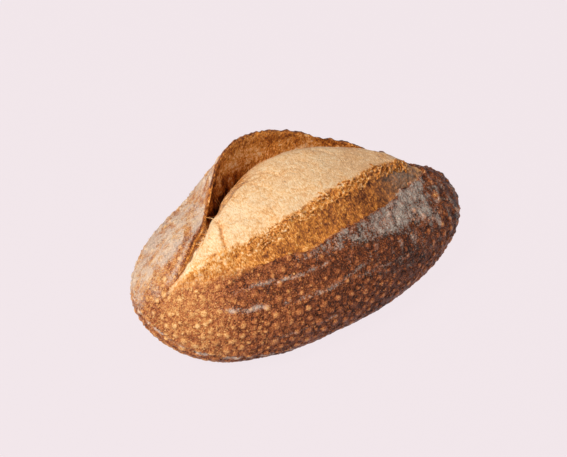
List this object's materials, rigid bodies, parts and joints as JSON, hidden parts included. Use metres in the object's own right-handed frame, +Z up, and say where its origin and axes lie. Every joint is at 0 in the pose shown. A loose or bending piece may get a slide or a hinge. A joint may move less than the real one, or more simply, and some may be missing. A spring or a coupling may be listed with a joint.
{
  "type": "sourdough loaf",
  "caption": "Walnut cinnamon sourdough loaf, a crusty oval hearth bread with a pale dome risen out of its long slash beside a tall browned ear; sliced and eaten.",
  "frame": {"origin": "middle of the loaf's bounding box, on the table under its flat base", "axes": "+X along the loaf towards the end that the picture shows farther away, +Y across it towards the ear, +Z up"},
  "size_m": [0.26, 0.1646, 0.1022],
  "materials": {
    "browned_crust": "dry baked crust, red brown with golden blisters and grey-white flour, a pale cream dome in the slash"
  },
  "bodies": {
    "root": {"loaf": "browned_crust"}
  },
  "joints": []
}
